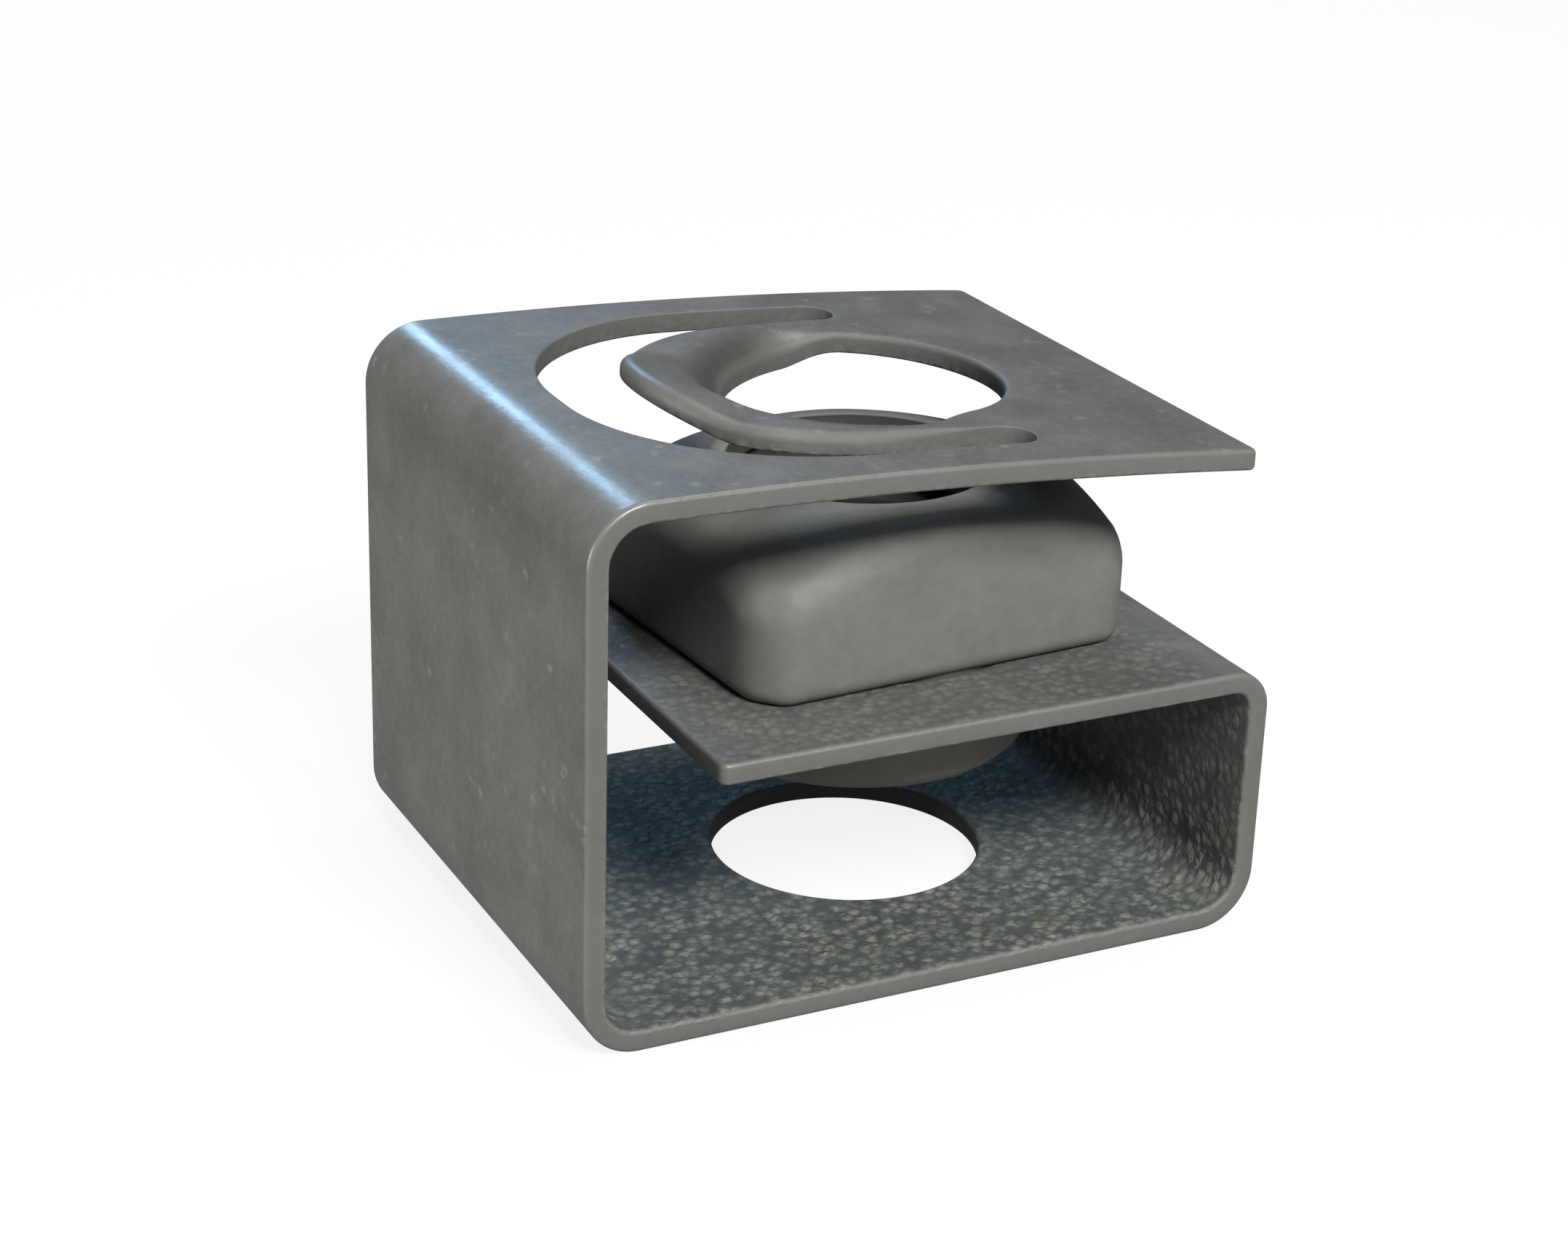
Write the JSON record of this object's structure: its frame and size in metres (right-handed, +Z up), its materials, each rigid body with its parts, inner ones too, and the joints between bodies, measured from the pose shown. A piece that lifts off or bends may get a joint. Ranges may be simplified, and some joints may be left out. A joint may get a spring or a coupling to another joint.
{
  "type": "cage nut",
  "caption": "Folded spring-steel clip with a slotted, domed roof tongue and a bolt hole, holding a loose threaded nut on its inner shelf.",
  "frame": {"origin": "on the bolt line, at the underside of the clip's floor", "axes": "+Z up along the bolt line, +X along the clip towards its open mouth, +Y across the strip"},
  "size_m": [0.034, 0.027, 0.026],
  "materials": {
    "spring_steel": "matt grey phosphate",
    "nut_steel": "satin grey"
  },
  "bodies": {
    "root": {"cage": "spring_steel", "nut": "nut_steel"}
  },
  "joints": []
}
